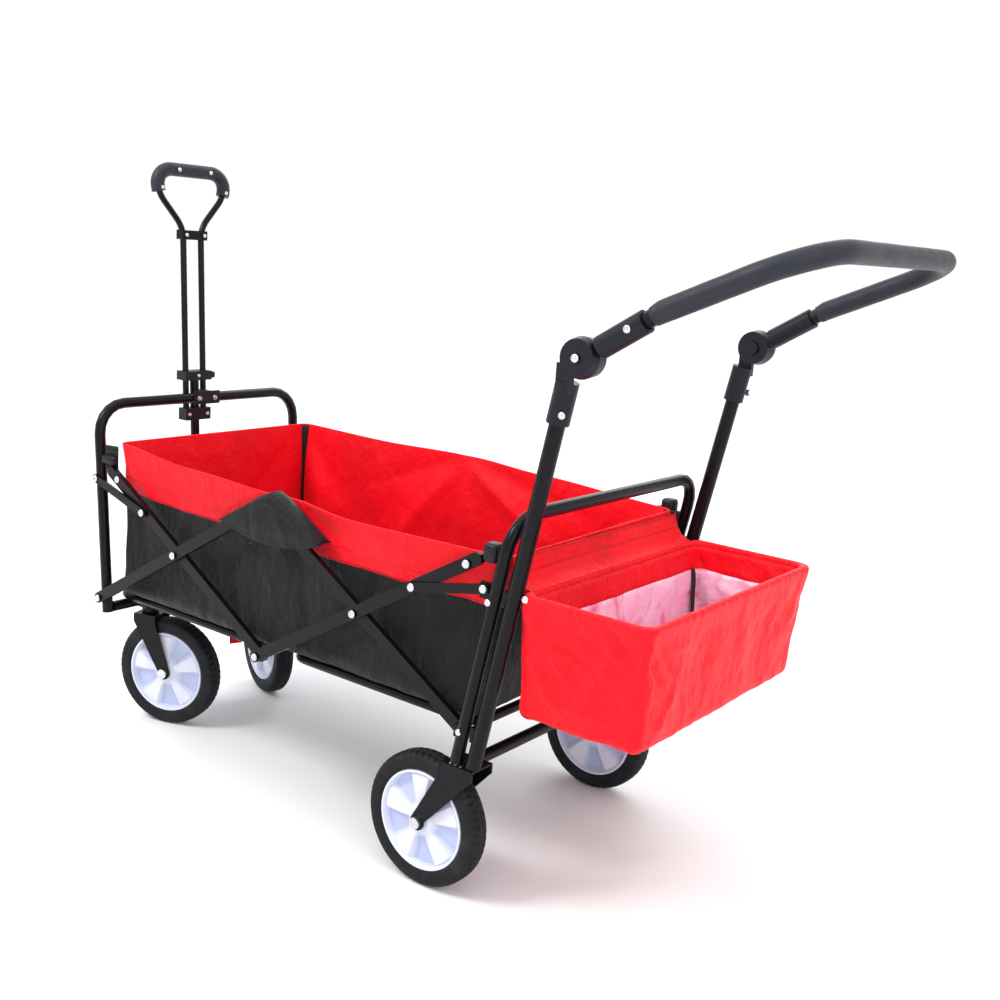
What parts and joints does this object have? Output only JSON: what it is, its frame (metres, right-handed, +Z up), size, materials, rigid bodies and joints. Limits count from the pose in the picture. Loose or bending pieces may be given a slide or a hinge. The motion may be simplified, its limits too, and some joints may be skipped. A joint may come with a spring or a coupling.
{
  "type": "folding camp wagon",
  "caption": "Folding four-wheeled wagon: scissor-sided frame, fabric basket, rear basket, tilting push handle and telescoping pull handle.",
  "frame": {"origin": "on the floor, under the middle of the overall box", "axes": "+X to the rear, towards the push handle; +Y to the wagon's right; +Z up"},
  "size_m": [1.375, 0.5276, 1.0301],
  "materials": {
    "black_steel": "semi-gloss powder coat",
    "black_plastic": "fine moulded grain",
    "foam": "soft closed-cell foam",
    "rubber": "matt",
    "pale_plastic": "satin",
    "zinc": "bright zinc",
    "red_nylon": "coated nylon weave",
    "black_board": "cloth-covered board"
  },
  "bodies": {
    "rear_frame": {"rear_frame": "black_steel", "rear_lower_crossbar": "black_steel", "rear_fork_left": "black_steel", "rear_fork_right": "black_steel", "rear_axle_left": "zinc", "rear_axle_right": "zinc", "push_tube_left": "black_steel", "push_tube_right": "black_steel", "hub_lower_left": "black_plastic", "hub_lower_right": "black_plastic", "cargo_basket": "red_nylon"},
    "bars_3": {"scissor_bar_3_left": "black_steel", "scissor_bar_3_right": "black_steel"},
    "bars_4": {"scissor_bar_4_left": "black_steel", "scissor_bar_4_right": "black_steel", "rear_corner_cap_left": "black_plastic", "rear_corner_cap_right": "black_plastic"},
    "bars_1": {"scissor_bar_1_left": "black_steel", "scissor_bar_1_right": "black_steel", "front_corner_cap_left": "black_plastic", "front_corner_cap_right": "black_plastic"},
    "bars_2": {"scissor_bar_2_left": "black_steel", "scissor_bar_2_right": "black_steel"},
    "front_frame": {"front_frame": "black_steel", "front_lower_crossbar": "black_steel", "handle_clip": "black_plastic"},
    "front_links": {"front_link_left": "black_steel", "front_link_right": "black_steel"},
    "rear_links": {"rear_link_left": "black_steel", "rear_link_right": "black_steel"},
    "front_floor": {"floor_leaf_front": "black_steel", "floor_board_front": "black_board"},
    "rear_floor": {"floor_leaf_rear": "black_steel", "floor_board_rear": "black_board"},
    "push_handle": {"hub_upper_left": "black_plastic", "hub_upper_right": "black_plastic", "handlebar": "black_steel", "handlebar_foam": "foam"},
    "rear_basket": {"rear_basket": "red_nylon", "rear_basket_rod": "black_steel"},
    "pull_handle": {"pull_tube": "black_steel", "pull_collar": "black_plastic"},
    "pull_slider": {"pull_twin_tubes": "black_steel", "pull_slide_bracket": "black_plastic", "pull_grip": "foam"},
    "pull_lever": {"pull_lock_lever": "black_plastic"},
    "rear_wheel_left": {"rear_left_tyre": "rubber", "rear_left_wheel_hub": "pale_plastic"},
    "caster_left": {"caster_fork_left": "black_steel", "caster_axle_left": "zinc"},
    "front_wheel_left": {"front_left_tyre": "rubber", "front_left_wheel_hub": "pale_plastic"},
    "hub_button_left": {"hub_button_left": "black_plastic"},
    "rear_wheel_right": {"rear_right_tyre": "rubber", "rear_right_wheel_hub": "pale_plastic"},
    "caster_right": {"caster_fork_right": "black_steel", "caster_axle_right": "zinc"},
    "front_wheel_right": {"front_right_tyre": "rubber", "front_right_wheel_hub": "pale_plastic"},
    "hub_button_right": {"hub_button_right": "black_plastic"}
  },
  "joints": [
    {"name": "fold", "type": "hinge", "parent": "rear_frame", "child": "bars_3", "pos_m": [0.22596, 0, 0.257], "axis": [0, 1, 0], "range_deg": [0, 44], "deforming": ["cargo_basket"]},
    {"name": "bars_4_cross", "type": "hinge", "parent": "bars_3", "child": "bars_4", "pos_m": [0.01846, 0, 0.3795], "axis": [0, 1, 0], "range_deg": [-88, 0]},
    {"name": "bars_1_middle", "type": "hinge", "parent": "bars_4", "child": "bars_1", "pos_m": [-0.18904, 0, 0.257], "axis": [0, 1, 0], "range_deg": [0, 88]},
    {"name": "bars_2_cross", "type": "hinge", "parent": "bars_1", "child": "bars_2", "pos_m": [-0.39654, 0, 0.3795], "axis": [0, 1, 0], "range_deg": [-88, 0]},
    {"name": "front_frame_foot", "type": "hinge", "parent": "bars_2", "child": "front_frame", "pos_m": [-0.60404, 0, 0.257], "axis": [0, 1, 0], "range_deg": [0, 44]},
    {"name": "front_links_post", "type": "hinge", "parent": "front_frame", "child": "front_links", "pos_m": [-0.61993, 0, 0.472], "axis": [0, 1, 0], "range_deg": [-83.07, 0]},
    {"name": "rear_links_post", "type": "hinge", "parent": "rear_frame", "child": "rear_links", "pos_m": [0.26016, 0, 0.474], "axis": [0, 1, 0], "range_deg": [0, 78.23]},
    {"name": "front_floor_hinge", "type": "hinge", "parent": "front_frame", "child": "front_floor", "pos_m": [-0.60404, 0, 0.257], "axis": [0, 1, 0], "range_deg": [-85.36, 0]},
    {"name": "rear_floor_hinge", "type": "hinge", "parent": "rear_frame", "child": "rear_floor", "pos_m": [0.22596, 0, 0.257], "axis": [0, 1, 0], "range_deg": [0, 85.36]},
    {"name": "push_handle_tilt", "type": "hinge", "parent": "rear_frame", "child": "push_handle", "pos_m": [0.38266, 0, 0.7974], "axis": [0, -1, 0], "range_deg": [-60, 100]},
    {"name": "rear_basket_fold", "type": "hinge", "parent": "rear_frame", "child": "rear_basket", "pos_m": [0.32146, 0, 0.4724], "axis": [0, -1, 0], "range_deg": [0, 70]},
    {"name": "pull_handle_swing", "type": "hinge", "parent": "front_frame", "child": "pull_handle", "pos_m": [-0.63624, 0, 0.2349], "axis": [0, -1, 0], "range_deg": [0, 85]},
    {"name": "pull_handle_slide", "type": "slide", "parent": "pull_handle", "child": "pull_slider", "axis": [0.0499, 0, -0.9988], "range_m": [0, 0.23]},
    {"name": "pull_lever_press", "type": "hinge", "parent": "pull_handle", "child": "pull_lever", "pos_m": [-0.65609, 0.0313, 0.646], "axis": [1, 0, 0], "range_deg": [0, 14], "stiffness_Nm_per_rad": 0.6},
    {"name": "caster_left_swivel", "type": "hinge", "parent": "front_frame", "child": "caster_left", "pos_m": [-0.60241, -0.1366, 0.1016], "axis": [0, 0, 1], "continuous": true},
    {"name": "front_wheel_left_spin", "type": "hinge", "parent": "caster_left", "child": "front_wheel_left", "pos_m": [-0.55968, -0.12247, 0.1016], "axis": [-0.314, 0.9494, 0], "continuous": true},
    {"name": "rear_wheel_left_spin", "type": "hinge", "parent": "rear_frame", "child": "rear_wheel_left", "pos_m": [0.16856, -0.23, 0.1016], "axis": [0, 1, 0], "continuous": true},
    {"name": "hub_button_left_press", "type": "slide", "parent": "push_handle", "child": "hub_button_left", "axis": [0, -1, 0], "range_m": [0, 0.004], "stiffness_N_per_m": 300},
    {"name": "caster_right_swivel", "type": "hinge", "parent": "front_frame", "child": "caster_right", "pos_m": [-0.60241, 0.1366, 0.1016], "axis": [0, 0, 1], "continuous": true},
    {"name": "front_wheel_right_spin", "type": "hinge", "parent": "caster_right", "child": "front_wheel_right", "pos_m": [-0.56034, 0.12062, 0.1016], "axis": [0.3551, 0.9348, 0], "continuous": true},
    {"name": "rear_wheel_right_spin", "type": "hinge", "parent": "rear_frame", "child": "rear_wheel_right", "pos_m": [0.16856, 0.23, 0.1016], "axis": [0, 1, 0], "continuous": true},
    {"name": "hub_button_right_press", "type": "slide", "parent": "push_handle", "child": "hub_button_right", "axis": [0, 1, 0], "range_m": [0, 0.004], "stiffness_N_per_m": 300}
  ],
  "couplings": [
    {"joint": "bars_4_cross", "follows": "fold", "ratio": -2},
    {"joint": "bars_1_middle", "follows": "fold", "ratio": 2},
    {"joint": "bars_2_cross", "follows": "fold", "ratio": -2},
    {"joint": "front_frame_foot", "follows": "fold", "ratio": 1},
    {"joint": "front_links_post", "follows": "fold", "ratio": -1.888},
    {"joint": "rear_links_post", "follows": "fold", "ratio": 1.778},
    {"joint": "front_floor_hinge", "follows": "fold", "ratio": -1.94},
    {"joint": "rear_floor_hinge", "follows": "fold", "ratio": 1.94}
  ]
}
